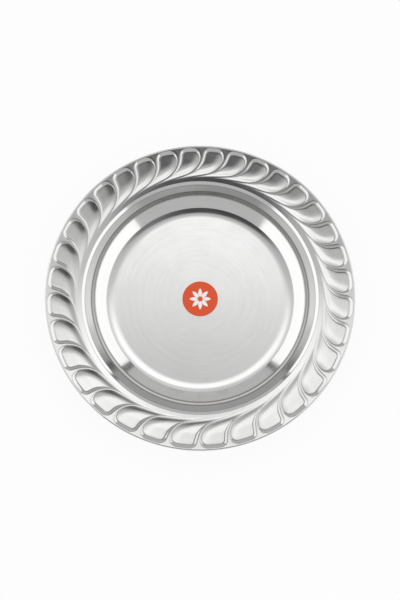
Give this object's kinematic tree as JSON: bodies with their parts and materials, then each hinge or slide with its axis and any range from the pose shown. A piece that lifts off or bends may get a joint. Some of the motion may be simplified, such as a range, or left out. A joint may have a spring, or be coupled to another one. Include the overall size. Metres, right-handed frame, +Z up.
{
  "type": "thali plate",
  "caption": "Round pressed-steel thali plate with a stepped well, a sloping rim of swirled flutes, a rolled edge and a round paper label on its floor.",
  "frame": {"origin": "centre of the flat underside of the floor, on the surface that the plate stands on", "axes": "+Z up along the plate's axis, +X to the right and +Y away from a viewer in front; flutes are counted counter-clockwise from +X"},
  "size_m": [0.254, 0.254, 0.0195],
  "materials": {
    "stainless_steel": "polished, with a fine turned grain",
    "label_paper": "coated paper, printed orange-red with a white edge"
  },
  "bodies": {
    "root": {"plate": "stainless_steel", "label": "label_paper"}
  },
  "joints": []
}
